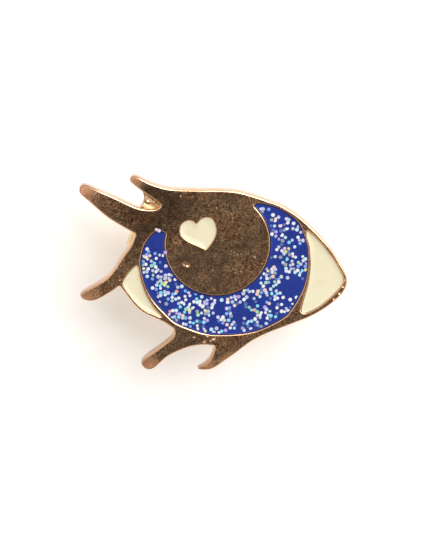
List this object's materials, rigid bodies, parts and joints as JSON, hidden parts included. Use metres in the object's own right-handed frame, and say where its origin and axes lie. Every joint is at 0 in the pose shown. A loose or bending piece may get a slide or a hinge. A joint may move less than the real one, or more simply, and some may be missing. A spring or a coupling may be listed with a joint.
{
  "type": "enamel pin",
  "caption": "Gold-plated enamel pin shaped as an eye with lashes, with a glitter iris; two posts go through cloth into butterfly clutches.",
  "frame": {"origin": "on the plate's flat back, behind the centre of the iris", "axes": "+Z out of the face, +X to the viewer's right across the eye, +Y up on the face; the posts and clutches are on the -Z side"},
  "size_m": [0.0298, 0.0222, 0.0095],
  "materials": {
    "gold_plate": "polished",
    "blue_glitter_enamel": "gloss",
    "cream_enamel": "gloss",
    "post_brass": "gloss",
    "clutch_brass": "gloss"
  },
  "bodies": {
    "pin": {"base_plate": "gold_plate", "enamel_iris": "blue_glitter_enamel", "enamel_white_left": "cream_enamel", "enamel_white_right": "cream_enamel", "enamel_heart": "cream_enamel", "post_left": "post_brass", "post_right": "post_brass"},
    "clutch_left": {"clutch_left_cap": "clutch_brass", "clutch_left_retainer": "clutch_brass"},
    "clutch_left_wing_a": {"clutch_left_wing_a": "clutch_brass"},
    "clutch_left_wing_b": {"clutch_left_wing_b": "clutch_brass"},
    "clutch_right": {"clutch_right_cap": "clutch_brass", "clutch_right_retainer": "clutch_brass"},
    "clutch_right_wing_a": {"clutch_right_wing_a": "clutch_brass"},
    "clutch_right_wing_b": {"clutch_right_wing_b": "clutch_brass"}
  },
  "joints": [
    {"name": "clutch_left_slide", "type": "slide", "parent": "pin", "child": "clutch_left", "axis": [0, 0, -1], "range_m": [0, 0.012]},
    {"name": "clutch_left_wing_a_squeeze", "type": "hinge", "parent": "clutch_left", "child": "clutch_left_wing_a", "pos_m": [-0.0049, 0.00096, -0.004], "axis": [-0.9781, 0.2079, 0], "range_deg": [0, 8], "stiffness_Nm_per_rad": 0.1},
    {"name": "clutch_left_wing_b_squeeze", "type": "hinge", "parent": "clutch_left", "child": "clutch_left_wing_b", "pos_m": [-0.0057, -0.00276, -0.004], "axis": [0.9781, -0.2079, 0], "range_deg": [0, 8], "stiffness_Nm_per_rad": 0.004},
    {"name": "clutch_right_slide", "type": "slide", "parent": "pin", "child": "clutch_right", "axis": [0, 0, -1], "range_m": [0, 0.012]},
    {"name": "clutch_right_wing_a_squeeze", "type": "hinge", "parent": "clutch_right", "child": "clutch_right_wing_a", "pos_m": [0.00737, -0.0035, -0.004], "axis": [0.788, 0.6157, 0], "range_deg": [0, 8], "stiffness_Nm_per_rad": 0.1},
    {"name": "clutch_right_wing_b_squeeze", "type": "hinge", "parent": "clutch_right", "child": "clutch_right_wing_b", "pos_m": [0.00503, -0.0005, -0.004], "axis": [-0.788, -0.6157, 0], "range_deg": [0, 8], "stiffness_Nm_per_rad": 0.004}
  ],
  "couplings": [
    {"joint": "clutch_left_wing_b_squeeze", "follows": "clutch_left_wing_a_squeeze", "ratio": 1},
    {"joint": "clutch_right_wing_b_squeeze", "follows": "clutch_right_wing_a_squeeze", "ratio": 1}
  ]
}
